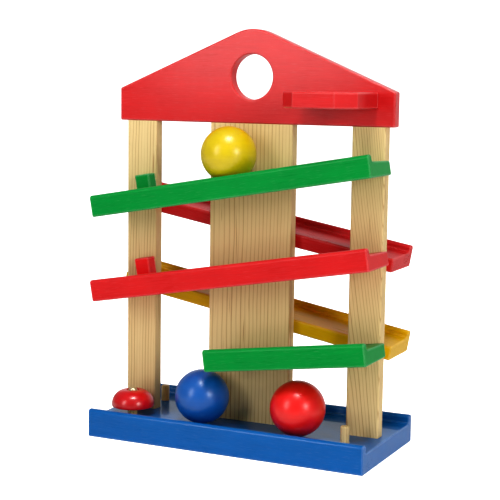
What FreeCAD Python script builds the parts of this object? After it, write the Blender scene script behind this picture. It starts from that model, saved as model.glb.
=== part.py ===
"""A wooden marble run on a lacquered tray.

Three upright pine boards stand on a grooved tray and carry a gabled top board. Five sloping tracks are
pegged to the boards, in turn on the front and on the rear, so that a ball runs down in a zigzag, rolls
through the gaps between the boards and ends in the tray against a bell.

Frame: +X to the right, +Y to the rear, +Z up. The origin is the centre of the tray's underside.
All sizes are in millimetres and degrees.
"""
import FreeCAD, Part
import math
import os
import re

import Sketcher
from FreeCAD import Placement, Rotation, Vector

SIZES = (
    # tray
    ("tray_overhang", 8, "tray past the outer posts on each side"),
    ("tray_height", 26, "tray, to the top of its low walls"),
    ("floor_height", 18, "tray floor above the table"),
    ("wall_thick", 7, "low walls of the tray and of the tracks"),
    # upright boards
    ("board_thick", 12, "posts and gable, front to rear"),
    ("outer_width", 31, "left and right post"),
    ("middle_width", 82, "middle post"),
    ("gap_play", 7, "gap between two posts, wider than a ball"),
    ("lane_play", 1, "lanes of the tray, wider than a ball"),
    # gable
    ("gable_overhang", 8, "gable past the outer post on each side"),
    ("gable_side", 30.3, "gable, height of its upright sides"),
    ("gable_rise", 57.9, "gable, rise from the sides to the peak's sharp point"),
    ("peak_round", 40, "radius of the rounded peak"),
    ("gable_hole_radius", 20.5, "round hole in the gable"),
    ("gable_hole_rise", 42, "centre of the round hole above the gable's underside"),
    # start shelf
    ("shelf_thick", 14, "start shelf, thickness"),
    ("shelf_corner", 15.5, "cut of the shelf's two front corners"),
    ("shelf_rise", 16, "shelf's underside above the gable's underside"),
    ("shelf_inset", 16, "shelf's right side in from the gable's side"),
    ("shelf_space", 8.9, "space between the shelf and a ball's height over the top track's middle line"),
    ("hole_play", 2, "start hole, radius wider than the ball's"),
    ("hole_back", 5, "wood left between the start hole and the gable"),
    ("hole_front", 4, "wood left in front of the start hole"),
    ("hole_cheek", 7.5, "wood left on each side of the start hole"),
    # tracks
    ("past_left", 9.4, "long tracks past the left post"),
    ("past_right", 5.4, "long tracks past the right post"),
    ("short_past", 4.8, "lowest track past the right post"),
    ("short_reach", 20.8, "lowest track's low end, left of the middle"),
    ("track_play", 3.4, "space beside a ball on a track, where the wall's rounding starts"),
    ("track_height", 20, "tracks, to the top of the wall"),
    ("slab_thick", 12.5, "track floor at its inner edge"),
    ("cross_fall", 1.5, "fall of the track floor from the wall to the posts"),
    ("track_angle", 10, "slope of the long tracks"),
    ("short_angle", 7.7, "slope of the lowest track"),
    ("short_space", 3.44, "lowest track's low end above a ball in the tray"),
    ("short_step", 28.5, "lowest long track above the short one, middle to middle"),
    ("track_step", 39.5, "each long track above the next one"),
    # stops
    ("stop_length", 15, "stop block, along the track"),
    ("stop_depth", 12, "stop block, out from the post"),
    ("stop_height", 20, "stop block, above the track floor"),
    ("peg_radius", 4, "stop pegs in the tray"),
    ("peg_rise", 15, "stop pegs above the tray floor"),
    ("peg_seat", 10, "stop pegs, depth in the tray floor"),
    ("corner_inset", 9.5, "bell and stop pegs, outwards from the outer posts' inner edges"),
    # bell
    ("bell_radius", 20, "bell dome, outside"),
    ("bell_height", 15.5, "bell dome, rim to flat top"),
    ("bell_belly", 0.8, "height of the dome's widest ring above its rim"),
    ("bell_lip", 0.3, "how far the rim turns in"),
    ("bell_shoulder", 13.4, "radius of the dome's shoulder"),
    ("bell_wall", 1.2, "bell metal"),
    ("bell_lift", 8, "bell rim above the tray floor"),
    ("dish_radius", 5.8, "dish in the dome's top that the screw head sits in"),
    ("dish_taper", 1, "slope of the dish's side, along the radius"),
    ("dish_depth", 1.6, "depth of the dish"),
    ("bell_screw_radius", 1.75, "shank of the bell's screw"),
    ("bell_head_radius", 4, "round head of the bell's screw"),
    ("bell_head_height", 2.6, "round head of the bell's screw"),
    ("bell_head_round", 2.34, "rounding of that head"),
    ("bell_bite", 12, "bell screw, depth in the tray floor"),
    ("washer_radius", 4.4, "washer under the bell screw's head"),
    ("washer_thick", 0.8, "washer under the bell screw's head"),
    ("spacer_radius", 4, "wooden spacer under the bell"),
    ("turn_gap", 0.1, "running clearance round the bell screw"),
    ("bell_play", 0.15, "clearance above and below the dome, along its screw"),
    # balls
    ("ball_radius", 25, "wooden balls"),
    ("ball_gap", 0.3, "space between a ball and what it rolls on or along"),
    ("yellow_place", -2.1, "yellow ball at rest, along the top track from its middle"),
    ("blue_place", -34, "blue ball at rest, along X"),
    ("red_place", 62, "red ball at rest, along X"),
    # pegs and screws that hold it together
    ("dowel_radius", 3, "wooden dowels"),
    ("dowel_in_board", 15, "upright dowels, depth in a post and in the gable"),
    ("dowel_web", 2, "wood left between level dowels that meet from both faces of a board"),
    ("dowel_in_slab", 16, "level dowels, depth in a track or in the shelf"),
    ("outer_inset", 7.5, "fixings in from the sides of an outer post"),
    ("middle_inset", 14, "fixings in from the sides of the middle post"),
    ("shelf_dowel_inset", 8, "dowels in from the sides of the shelf"),
    ("screw_radius", 2, "tray screws, shank"),
    ("screw_head_radius", 4, "tray screws, countersunk head"),
    ("screw_sink", 0.4, "tray screws, head below the underside"),
    ("screw_bite", 16, "tray screws, depth in a post"),
    ("recess_width", 0.9, "driver recess of the screws"),
    ("recess_depth", 1.4, "driver recess of the screws"),
    # eased edges
    ("wall_round", 3, "round top of the low walls"),
    ("edge_round", 1.5, "eased edges"),
    ("cove_round", 2, "cove between a floor and a wall"),
    ("end_round", 1.2, "eased edges of the tray's and tracks' ends"),
)

# Sizes and places that follow from the ones above, so that what fits together stays together.
WORKED_OUT = {
    # across: two lanes as wide as a ball stand on both sides of the boards
    "lane_width": "2 * ball_radius + lane_play",
    "lane_centre": "(board_thick + lane_width) / 2",
    "tray_depth": "board_thick + 2 * (lane_width + wall_thick)",
    "board_half": "board_thick / 2",
    "dowel_in_face": "(board_thick - dowel_web) / 2",
    # along: the boards, and what ends beyond them
    "gap_width": "2 * ball_radius + gap_play",
    "outer_inner": "middle_width / 2 + gap_width",
    "outer_centre": "outer_inner + outer_width / 2",
    "outer_edge": "outer_inner + outer_width",
    "outer_spread": "outer_width - 2 * outer_inset",
    "middle_spread": "middle_width - 2 * middle_inset",
    "tray_length": "2 * (outer_edge + tray_overhang)",
    "gable_half": "outer_edge + gable_overhang",
    "corner_place": "outer_inner + corner_inset",
    # start shelf: a block round the hole
    "hole_radius": "ball_radius + hole_play",
    "shelf_width": "2 * (hole_radius + hole_cheek)",
    "shelf_depth": "hole_back + 2 * hole_radius + hole_front",
    "shelf_centre": "gable_half - shelf_inset - shelf_width / 2",
    "shelf_spread": "shelf_width - 2 * shelf_dowel_inset",
    # tracks: the wall's straight part stands track_play beside the ball
    "wall_straight": "track_height - slab_thick - wall_round",
    "ball_side": "sqrt(ball_radius ^ 2 - (ball_radius - wall_straight) ^ 2)",
    "track_floor": "ball_gap + ball_radius + ball_side + track_play",
    "track_width": "track_floor + wall_thick",
    "track_run": "2 * outer_edge + past_left + past_right",
    "track_length": "track_run / cos(track_angle * 1deg)",
    "track_middle": "(past_right - past_left) / 2",
    "short_run": "outer_edge + short_past + short_reach",
    "short_length": "short_run / cos(short_angle * 1deg)",
    "short_middle": "(outer_edge + short_past - short_reach) / 2",
    # heights: from the ball under the lowest track's low end up to the gable
    "ball_top": "floor_height + ball_gap + 2 * ball_radius",
    "short_rise": "slab_thick / 2 / cos(short_angle * 1deg) + short_run / 2 * tan(short_angle * 1deg)",
    "short_level": "ball_top + short_space + short_rise",
    "track_level": "short_level + short_step + 3 * track_step",
    "shelf_climb": "(shelf_centre - track_middle) * tan(track_angle * 1deg)",
    "shelf_foot": "track_level + shelf_climb + 2 * ball_radius + shelf_space",
    "gable_foot": "shelf_foot - shelf_rise",
    "post_length": "gable_foot - floor_height",
}

document = FreeCAD.newDocument("marble_run")
sizes = document.addObject("Spreadsheet::Sheet", "sizes")
for row, (alias, number, meaning) in enumerate(SIZES, start=1):
    sizes.set("A%d" % row, meaning)
    sizes.set("B%d" % row, str(number))
    sizes.setAlias("B%d" % row, alias)
document.recompute()

DRIVING = {alias for alias, _, _ in SIZES}
SAME = 0.01  # two places nearer than this are one
sub_parts = []


def full(expression):
    """An expression with each driving name as its cell and each worked-out name as its own expression."""
    def spelled(match):
        word = match.group()
        if word in WORKED_OUT:
            return "(%s)" % full(WORKED_OUT[word])
        return "sizes." + word if word in DRIVING else word
    return re.sub("[a-z_]+", spelled, expression)


def number(expression):
    """What an expression on the sheet's names comes to now."""
    result = sizes.evalExpression(full(expression))
    return float(getattr(result, "Value", result))


def bind(thing, prop, expression):
    """Tie a property to the sheet."""
    thing.setExpression(prop, full(expression))


def place(thing, x="0", y="0", z="0", axis=(0, 0, 1), angle="0"):
    """Tie a sub-part's place and its turn about one axis to the sheet."""
    thing.Placement = Placement(Vector(), Rotation(Vector(*axis), number(angle)))
    for prop, expression in (("x", x), ("y", y), ("z", z)):
        bind(thing, "Placement.Base." + prop, expression)
    return thing


def sub_part(kind, label):
    """A sub-part: the label names its file."""
    thing = document.addObject(kind, label)
    thing.Label = label
    sub_parts.append(thing)
    return thing


# ---------------------------------------------------------------- sketches and features

def sketch_on(body, role, lift=None):
    """A sketch on one of the body's own planes, lifted along the plane's normal."""
    sketch = body.newObject("Sketcher::SketchObject", "%s_sketch_%d" % (body.Label, len(body.Group)))
    plane = [feature for feature in body.Origin.OriginFeatures if feature.Role == role][0]
    sketch.AttachmentSupport = [(plane, "")]
    sketch.MapMode = "FlatFace"
    if lift:
        bind(sketch, "AttachmentOffset.Base.z", lift)
    return sketch


def tie(sketch, kind, geometry, point, expression):
    """Hold one coordinate of a point at an expression, measured from the sketch's origin."""
    index = sketch.addConstraint(Sketcher.Constraint(kind, -1, 1, geometry, point, number(expression)))
    bind(sketch, "Constraints[%d]" % index, expression)


def outline(sketch, points):
    """A closed outline of straight lines through points given as expressions."""
    spots = [Vector(number(across), number(up), 0) for across, up in points]
    first = None
    for here, there in zip(spots, spots[1:] + spots[:1]):
        line = sketch.addGeometry(Part.LineSegment(here, there), False)
        first = line if first is None else first
    last = first + len(spots) - 1
    for line in range(first, last + 1):
        following = first if line == last else line + 1
        sketch.addConstraint(Sketcher.Constraint("Coincident", line, 2, following, 1))
    for line, (across, up) in enumerate(points, start=first):
        tie(sketch, "DistanceX", line, 1, across)
        tie(sketch, "DistanceY", line, 1, up)
    return sketch


def circles(sketch, centres, radius):
    """Circles of one radius, with centres given as expressions."""
    for across, up in centres:
        centre = Vector(number(across), number(up), 0)
        circle = sketch.addGeometry(Part.Circle(centre, Vector(0, 0, 1), number(radius)), False)
        tie(sketch, "DistanceX", circle, 3, across)
        tie(sketch, "DistanceY", circle, 3, up)
        index = sketch.addConstraint(Sketcher.Constraint("Radius", circle, number(radius)))
        bind(sketch, "Constraints[%d]" % index, radius)
    return sketch


def pad(body, sketch, length, midplane=False):
    """A solid pulled out of a sketch."""
    feature = body.newObject("PartDesign::Pad", body.Label + "_pad")
    feature.Profile = sketch
    feature.Midplane = midplane
    bind(feature, "Length", length)
    document.recompute()
    return feature


def cut(body, sketch, depth, reverse=False, midplane=False):
    """A pocket, which has to take wood away."""
    before = body.Shape.Volume
    feature = body.newObject("PartDesign::Pocket", body.Label + "_cut")
    feature.Profile = sketch
    feature.Reversed = reverse
    feature.Midplane = midplane
    bind(feature, "Length", depth)
    document.recompute()
    if body.Shape.Volume >= before:
        raise RuntimeError("a pocket of %s cut nothing" % body.Label)
    return feature


def turn(body, sketch, kind="PartDesign::Revolution"):
    """A solid, or a hollow, turned about the sketch's upright axis."""
    feature = body.newObject(kind, body.Label + "_turned")
    feature.Profile = sketch
    feature.ReferenceAxis = (sketch, ["V_Axis"])
    feature.Angle = 360
    document.recompute()
    return feature


def ease(body, radius, wanted):
    """Round the edges that wanted picks."""
    base = body.Tip
    names = ["Edge%d" % (index + 1) for index, edge in enumerate(base.Shape.Edges) if wanted(edge)]
    if not names:
        raise RuntimeError("no edge to ease on " + body.Label)
    feature = body.newObject("PartDesign::Fillet", body.Label + "_eased")
    feature.Base = (base, names)
    bind(feature, "Radius", radius)
    document.recompute()
    return feature


def near(one, other):
    return abs(one - other) < SAME


def runs(edge, axis):
    """Whether an edge is straight and runs along an axis, 0, 1 or 2."""
    ends = [vertex.Point for vertex in edge.Vertexes]
    return len(ends) == 2 and near(abs(ends[1][axis] - ends[0][axis]), edge.Length)


def middle(edge):
    return edge.BoundBox.Center


def flat_across(edge, axis, position):
    """Whether an edge lies in the plane across an axis at a position."""
    box = edge.BoundBox
    low = (box.XMin, box.YMin, box.ZMin)[axis]
    high = (box.XMax, box.YMax, box.ZMax)[axis]
    return near(low, position) and near(high, position)


def ring(edge, radius, height):
    """Whether an edge is a level circle of a radius at a height."""
    box = edge.BoundBox
    return edge.isClosed() and near(box.XLength, 2 * radius) and flat_across(edge, 2, height)


def ease_ends(body, half_length):
    """Ease the outline of both ends of a piece that was pulled out along X."""
    reach = number(half_length)
    ease(body, "end_round", lambda edge: flat_across(edge, 0, reach) or flat_across(edge, 0, -reach))


# ---------------------------------------------------------------- places that pieces share

# name, centre along X, width, spread of the fixings in its ends
POSTS = (
    ("left_post", "-outer_centre", "outer_width", "outer_spread"),
    ("middle_post", "0", "middle_width", "middle_spread"),
    ("right_post", "outer_centre", "outer_width", "outer_spread"),
)
PEGS = (
    ("stop_peg_front_right", "corner_place", "-lane_centre"),
    ("stop_peg_rear_left", "-corner_place", "lane_centre"),
    ("stop_peg_rear_right", "corner_place", "lane_centre"),
)
SHELF_DOWELS = [("shelf_centre %s shelf_spread / 2" % sign, "shelf_rise + shelf_thick / 2") for sign in "-+"]
# name, side (-1 front, 1 rear), middle along X, level of the slab's middle, slope, length
TRACKS = (
    ("track_1_green", -1, "track_middle", "track_level", "track_angle", "track_length"),
    ("track_2_red", 1, "track_middle", "(track_level - track_step)", "track_angle", "track_length"),
    ("track_3_red", -1, "track_middle", "(track_level - 2 * track_step)", "track_angle", "track_length"),
    ("track_4_yellow", 1, "track_middle", "(track_level - 3 * track_step)", "track_angle", "track_length"),
    ("track_5_green", -1, "short_middle", "short_level", "short_angle", "short_length"),
)


def posts_of(track):
    """The posts that a track is pegged to, as their centres along X."""
    name, side, centre, level, slope, length = track
    reach = number("%s / 2 * cos(%s * 1deg) - 2 * dowel_radius" % (length, slope))
    return [post for _, post, _, _ in POSTS if abs(number(post) - number(centre)) < reach]


def slab_height(track, post):
    """The height of a track's slab at a post. Front tracks rise to the right and rear ones to the left."""
    name, side, centre, level, slope, length = track
    sign = "+" if side < 0 else "-"
    return "%s %s (%s - %s) * tan(%s * 1deg)" % (level, sign, post, centre, slope)


# ---------------------------------------------------------------- tray

def make_tray():
    body = sub_part("PartDesign::Body", "base_tray")
    half = "tray_depth / 2"
    inner = "(lane_width + board_half)"
    profile = outline(sketch_on(body, "YZ_Plane"), (
        ("-" + half, "0"), (half, "0"), (half, "tray_height"), (inner, "tray_height"),
        (inner, "floor_height"), ("-" + inner, "floor_height"), ("-" + inner, "tray_height"),
        ("-" + half, "tray_height")))
    pad(body, profile, "tray_length", midplane=True)
    top, floor = number("tray_height"), number("floor_height")
    ease(body, "wall_round", lambda edge: runs(edge, 0) and near(middle(edge).z, top))
    ease(body, "cove_round", lambda edge: runs(edge, 0) and near(middle(edge).z, floor))
    ease(body, "edge_round", lambda edge: runs(edge, 0) and near(middle(edge).z, 0))
    ease_ends(body, "tray_length / 2")

    # countersunk screw holes under the posts, from below
    spots = [(post + sign + spread + " / 2", "0") for _, post, _, spread in POSTS for sign in ("-", "+")]
    holes = body.newObject("PartDesign::Hole", "base_tray_screw_holes")
    holes.Profile = circles(sketch_on(body, "XY_Plane"), spots, "screw_radius")
    document.recompute()
    before = body.Shape.Volume
    holes.DepthType = "ThroughAll"
    holes.Threaded = False
    bind(holes, "Diameter", "2 * screw_radius")
    holes.HoleCutType = "Countersink"
    bind(holes, "HoleCutDiameter", "2 * (screw_head_radius + screw_sink)")
    holes.HoleCutCountersinkAngle = 90
    holes.Reversed = True
    document.recompute()
    if body.Shape.Volume >= before:
        raise RuntimeError("the screw holes cut nothing")

    # seats of the stop pegs and of the bell's screw, from the floor down
    pegs = [(x, y) for _, x, y in PEGS]
    cut(body, circles(sketch_on(body, "XY_Plane", "floor_height"), pegs, "peg_radius"), "peg_seat")
    bell = [("-corner_place", "-lane_centre")]
    cut(body, circles(sketch_on(body, "XY_Plane", "floor_height"), bell, "bell_screw_radius"), "bell_bite")


def make_pegs():
    for label, x, y in PEGS:
        body = sub_part("PartDesign::Body", label)
        pad(body, circles(sketch_on(body, "XY_Plane"), [("0", "0")], "peg_radius"), "peg_seat + peg_rise")
        top = number("peg_seat + peg_rise")
        ease(body, "edge_round", lambda edge: flat_across(edge, 2, top))
        place(body, x, y, "floor_height - peg_seat")


# ---------------------------------------------------------------- posts

def make_post(label, centre, width, spread):
    """A board from the tray floor to the gable, with its holes for dowels and screws."""
    body = sub_part("PartDesign::Body", label)
    half = width + " / 2"
    board = outline(sketch_on(body, "XZ_Plane"), (
        ("-" + half, "0"), (half, "0"), (half, "post_length"), ("-" + half, "post_length")))
    pad(body, board, "board_thick", midplane=True)
    ease(body, "edge_round", lambda edge: runs(edge, 2))
    fixings = [(sign + spread + " / 2", "0") for sign in ("-", "+")]
    top = circles(sketch_on(body, "XY_Plane", "post_length"), fixings, "dowel_radius")
    cut(body, top, "dowel_in_board")
    cut(body, circles(sketch_on(body, "XY_Plane"), fixings, "screw_radius"), "screw_bite", reverse=True)
    for side, lift in ((-1, "board_half"), (1, "-board_half")):
        spots = [("0", slab_height(track, centre) + " - floor_height")
                 for track in TRACKS if track[1] == side and centre in posts_of(track)]
        face = circles(sketch_on(body, "XZ_Plane", lift), spots, "dowel_radius")
        cut(body, face, "dowel_in_face", reverse=side > 0)
    place(body, centre, "0", "floor_height")


# ---------------------------------------------------------------- gable and start shelf

def make_gable():
    body = sub_part("PartDesign::Body", "gable")
    board = outline(sketch_on(body, "XZ_Plane"), (
        ("-gable_half", "0"), ("gable_half", "0"), ("gable_half", "gable_side"),
        ("0", "gable_side + gable_rise"), ("-gable_half", "gable_side")))
    pad(body, board, "board_thick", midplane=True)
    half, front = number("gable_half"), number("board_half")
    ease(body, "peak_round", lambda edge: runs(edge, 1) and near(middle(edge).x, 0))
    ease(body, "edge_round", lambda edge: runs(edge, 1) and near(abs(middle(edge).x), half))
    hole = circles(sketch_on(body, "XZ_Plane"), [("0", "gable_hole_rise")], "gable_hole_radius")
    cut(body, hole, "2 * board_thick", midplane=True)
    ease(body, "edge_round", lambda edge: flat_across(edge, 1, front) or flat_across(edge, 1, -front))
    feet = [(post + sign + spread + " / 2", "0") for _, post, _, spread in POSTS for sign in ("-", "+")]
    cut(body, circles(sketch_on(body, "XY_Plane"), feet, "dowel_radius"), "dowel_in_board", reverse=True)
    shelf = circles(sketch_on(body, "XZ_Plane", "board_half"), SHELF_DOWELS, "dowel_radius")
    cut(body, shelf, "dowel_in_face")
    place(body, "0", "0", "gable_foot")


def make_shelf():
    """The block on the gable's front with the hole that starts a ball."""
    body = sub_part("PartDesign::Body", "start_shelf")
    side = "shelf_width / 2"
    cheek = "-(shelf_depth - shelf_corner)"
    plan = outline(sketch_on(body, "XY_Plane"), (
        ("-" + side, "0"), ("-" + side, cheek), ("-(%s - shelf_corner)" % side, "-shelf_depth"),
        (side + " - shelf_corner", "-shelf_depth"), (side, cheek), (side, "0")))
    pad(body, plan, "shelf_thick")
    ease(body, "edge_round", lambda edge: not flat_across(edge, 1, 0))
    hole = circles(sketch_on(body, "XY_Plane", "shelf_thick"),
                   [("0", "-(hole_back + hole_radius)")], "hole_radius")
    cut(body, hole, "shelf_thick")
    radius, thick = number("hole_radius"), number("shelf_thick")
    ease(body, "edge_round", lambda edge: ring(edge, radius, 0) or ring(edge, radius, thick))
    pegs = [(sign + "shelf_spread / 2", "shelf_thick / 2") for sign in ("-", "+")]
    cut(body, circles(sketch_on(body, "XZ_Plane"), pegs, "dowel_radius"), "dowel_in_slab", reverse=True)
    place(body, "shelf_centre", "-board_half", "shelf_foot")


# ---------------------------------------------------------------- tracks and their stops

def track_turn(side, slope):
    """Front tracks rise to the right. Rear ones are the same piece turned half round."""
    tilt = Rotation(Vector(0, 1, 0), -number(slope))
    half_round = Rotation(Vector(0, 0, 1), 180 if side > 0 else 0)
    return half_round.multiply(tilt)


def set_on_track(body, track):
    """Give a piece made in a track's own frame the track's place."""
    name, side, centre, level, slope, length = track
    body.Placement = Placement(Vector(), track_turn(side, slope))
    bind(body, "Placement.Base.x", centre)
    bind(body, "Placement.Base.y", "board_half" if side > 0 else "-board_half")
    bind(body, "Placement.Base.z", level)


def make_track(track):
    """A sloping track, made level: its inner edge is on the XZ plane and its slab's middle on the X axis."""
    label, side, centre, level, slope, length = track
    body = sub_part("PartDesign::Body", label)
    under = "-slab_thick / 2"
    top = "track_height - slab_thick / 2"
    inner = "-track_floor"
    profile = outline(sketch_on(body, "YZ_Plane"), (
        ("0", under), ("0", "slab_thick / 2"), (inner, "slab_thick / 2 + cross_fall"), (inner, top),
        ("-track_width", top), ("-track_width", under)))
    pad(body, profile, length, midplane=True)
    wall_top, cove = number(top), number("slab_thick / 2 + cross_fall")
    ease(body, "wall_round", lambda edge: runs(edge, 0) and near(middle(edge).z, wall_top))
    ease(body, "cove_round", lambda edge: runs(edge, 0) and near(middle(edge).z, cove))
    ease(body, "edge_round", lambda edge: runs(edge, 0) and (
        near(middle(edge).z, number(under)) or near(middle(edge).y, 0)))
    ease_ends(body, length + " / 2")
    sign = "" if side < 0 else "-"
    spots = [("%s(%s - %s) / cos(%s * 1deg)" % (sign, post, centre, slope), "0") for post in posts_of(track)]
    cut(body, circles(sketch_on(body, "XZ_Plane"), spots, "dowel_radius"), "dowel_in_slab", reverse=True)
    set_on_track(body, track)


def make_stop(label, track):
    """A block on the low end of a track, against the outer post.

    Its end is in line with the post's inner edge at half the block's height.
    """
    side, centre, slope = track[1], track[2], track[4]
    body = sub_part("PartDesign::Body", label)
    lean = "(slab_thick + stop_height) / 2 * tan(%s * 1deg)" % slope
    post_edge = "(-outer_inner %s %s) / cos(%s * 1deg)" % ("-" if side < 0 else "+", centre, slope)
    rise = "slab_thick / 2 + cross_fall * stop_depth / track_floor"
    profile = outline(sketch_on(body, "YZ_Plane", "%s + %s - stop_length" % (post_edge, lean)), (
        ("0", "slab_thick / 2"), ("-stop_depth", rise), ("-stop_depth", rise + " + stop_height"),
        ("0", rise + " + stop_height")))
    pad(body, profile, "stop_length")
    top, front = number(rise + " + stop_height"), -number("stop_depth")
    ease(body, "end_round", lambda edge: flat_across(edge, 2, top) or (
        flat_across(edge, 1, front) and runs(edge, 2)))
    set_on_track(body, track)


# ---------------------------------------------------------------- bell

def make_bell():
    rim_height = "floor_height + bell_lift"
    crown = "bell_height - dish_depth"
    x, y = "-corner_place", "-lane_centre"

    body = sub_part("PartDesign::Body", "bell_dome")
    hole = "bell_screw_radius + turn_gap"
    outside = outline(sketch_on(body, "XZ_Plane"), (
        (hole, "0"), ("bell_radius - bell_lip", "0"), ("bell_radius", "bell_belly"),
        ("bell_radius", "bell_height"), ("dish_radius", "bell_height"), ("dish_radius - dish_taper", crown),
        (hole, crown)))
    turn(body, outside)
    inside_top, under_dish = "bell_height - bell_wall", crown + " - bell_wall"
    mouth, belly = "bell_radius - bell_lip - bell_wall", "bell_radius - bell_wall"
    dish = "dish_radius + bell_wall / 2"
    hollow = outline(sketch_on(body, "XZ_Plane"), (
        ("0", "-bell_lift"), (mouth, "-bell_lift"), (mouth, "0"), (belly, "bell_belly"), (belly, inside_top),
        (dish, inside_top), (dish + " - dish_taper", under_dish), ("0", under_dish)))
    turn(body, hollow, "PartDesign::Groove")
    outer, inner = number("bell_radius"), number("bell_radius - bell_wall")
    top, under = number("bell_height"), number(inside_top)
    ease(body, "bell_shoulder", lambda edge: ring(edge, outer, top))
    ease(body, "bell_shoulder - bell_wall", lambda edge: ring(edge, inner, under))
    place(body, x, y, rim_height)

    spacer = sub_part("PartDesign::Body", "bell_spacer")
    tube = sketch_on(spacer, "XY_Plane")
    circles(tube, [("0", "0")], "spacer_radius")
    circles(tube, [("0", "0")], "bell_screw_radius")
    pad(spacer, tube, "bell_lift + %s - bell_wall - bell_play" % crown)
    place(spacer, x, y, "floor_height")

    washer = sub_part("PartDesign::Body", "bell_washer")
    disc = sketch_on(washer, "XY_Plane")
    circles(disc, [("0", "0")], "washer_radius")
    circles(disc, [("0", "0")], "bell_screw_radius")
    pad(washer, disc, "washer_thick")
    place(washer, x, y, "%s + %s + bell_play" % (rim_height, crown))

    screw = sub_part("PartDesign::Body", "bell_screw")
    length = "(bell_bite + bell_lift + %s + bell_play + washer_thick)" % crown
    shape = outline(sketch_on(screw, "XZ_Plane"), (
        ("0", "0"), ("bell_screw_radius", "2 * bell_screw_radius"), ("bell_screw_radius", length),
        ("bell_head_radius", length), ("bell_head_radius", length + " + bell_head_height"),
        ("0", length + " + bell_head_height")))
    turn(screw, shape)
    head, head_top = number("bell_head_radius"), number(length + " + bell_head_height")
    ease(screw, "bell_head_round", lambda edge: ring(edge, head, head_top))
    slot = outline(sketch_on(screw, "XY_Plane", length + " + bell_head_height"), (
        ("-bell_head_radius", "-recess_width / 2"), ("bell_head_radius", "-recess_width / 2"),
        ("bell_head_radius", "recess_width / 2"), ("-bell_head_radius", "recess_width / 2")))
    cut(screw, slot, "recess_depth")
    place(screw, x, y, "floor_height - bell_bite")


# ---------------------------------------------------------------- balls

def make_balls():
    """The yellow ball is on the top track and the other two are in the tray's front lane."""
    lean = math.atan(number("cross_fall / track_floor"))
    out = number("ball_radius + ball_gap")
    floor_there = number("slab_thick / 2") + out * math.tan(lean)
    on_track = Vector(number("yellow_place"), -out, floor_there + out / math.cos(lean))
    side, centre, level, slope = TRACKS[0][1:5]
    spot = track_turn(side, slope).multVec(on_track)
    spot = spot + Vector(number(centre), -number("board_half"), number(level))
    yellow = sub_part("Part::Sphere", "ball_yellow")
    bind(yellow, "Radius", "ball_radius")
    yellow.Placement.Base = spot
    for label, x in (("ball_blue", "blue_place"), ("ball_red", "red_place")):
        ball = sub_part("Part::Sphere", label)
        bind(ball, "Radius", "ball_radius")
        place(ball, x, "-lane_centre", "floor_height + ball_radius + ball_gap")


# ---------------------------------------------------------------- dowels and screws

def dowel_group(label, rods):
    """Equal dowels in one sub-part. Each rod is its foot's place, the axis it points along and its length."""
    members = []
    for index, (x, y, z, axis, angle, length) in enumerate(rods, start=1):
        rod = document.addObject("Part::Cylinder", "%s_%d" % (label, index))
        bind(rod, "Radius", "dowel_radius")
        bind(rod, "Height", length)
        members.append(place(rod, x, y, z, axis, angle))
    sub_part("Part::Compound", label).Links = members


def make_dowels():
    across = (1, 0, 0)
    upright = [(post + sign + spread + " / 2", "0", "gable_foot - dowel_in_board", across, "0",
                "2 * dowel_in_board") for _, post, _, spread in POSTS for sign in ("-", "+")]
    dowel_group("gable_dowels", upright)
    level = "dowel_in_face + dowel_in_slab"
    shelf = [(x, "dowel_in_face - board_half", "gable_foot + " + z, across, "90", level)
             for x, z in SHELF_DOWELS]
    dowel_group("shelf_dowels", shelf)
    tracks = []
    for track in TRACKS:
        front = track[1] < 0
        foot = "dowel_in_face - board_half" if front else "board_half - dowel_in_face"
        for post in posts_of(track):
            tracks.append((post, foot, slab_height(track, post), across, "90" if front else "-90", level))
    dowel_group("track_dowels", tracks)


def make_tray_screw(name, x):
    """A countersunk wood screw, point up, with a cross recess."""
    cone = document.addObject("Part::Cone", name + "_head")
    bind(cone, "Radius1", "screw_head_radius")
    bind(cone, "Radius2", "screw_radius")
    bind(cone, "Height", "screw_head_radius - screw_radius")
    shank = document.addObject("Part::Cylinder", name + "_shank")
    reach = "(floor_height - screw_sink + screw_bite - 2 * screw_radius)"
    bind(shank, "Radius", "screw_radius")
    bind(shank, "Height", reach)
    point = document.addObject("Part::Cone", name + "_point")
    bind(point, "Radius1", "screw_radius")
    point.Radius2 = 0
    bind(point, "Height", "2 * screw_radius")
    bind(point, "Placement.Base.z", reach)
    whole = document.addObject("Part::MultiFuse", name + "_whole")
    whole.Shapes = [cone, shank, point]
    bars = []
    for turned, (wide, deep) in enumerate((("screw_head_radius", "recess_width"),
                                           ("recess_width", "screw_head_radius"))):
        bar = document.addObject("Part::Box", "%s_bar_%d" % (name, turned))
        bind(bar, "Length", wide)
        bind(bar, "Width", deep)
        bind(bar, "Height", "recess_depth")
        place(bar, "-(%s) / 2" % wide, "-(%s) / 2" % deep, "0")
        bars.append(bar)
    cross = document.addObject("Part::MultiFuse", name + "_cross")
    cross.Shapes = bars
    screw = document.addObject("Part::Cut", name)
    screw.Base = whole
    screw.Tool = cross
    return place(screw, x, "0", "screw_sink")


def make_screws():
    spots = [post + sign + spread + " / 2" for _, post, _, spread in POSTS for sign in ("-", "+")]
    screws = [make_tray_screw("tray_screw_%d" % index, x) for index, x in enumerate(spots, start=1)]
    sub_part("Part::Compound", "tray_screws").Links = screws


# ---------------------------------------------------------------- build, check and write

make_tray()
make_pegs()
for post in POSTS:
    make_post(*post)
make_gable()
make_shelf()
for track in TRACKS:
    make_track(track)
for track, label in zip(TRACKS, ("stop_1_green", "stop_2_red", "stop_3_red", "stop_4_yellow")):
    make_stop(label, track)
make_bell()
make_balls()
make_dowels()
make_screws()
document.recompute()

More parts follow.
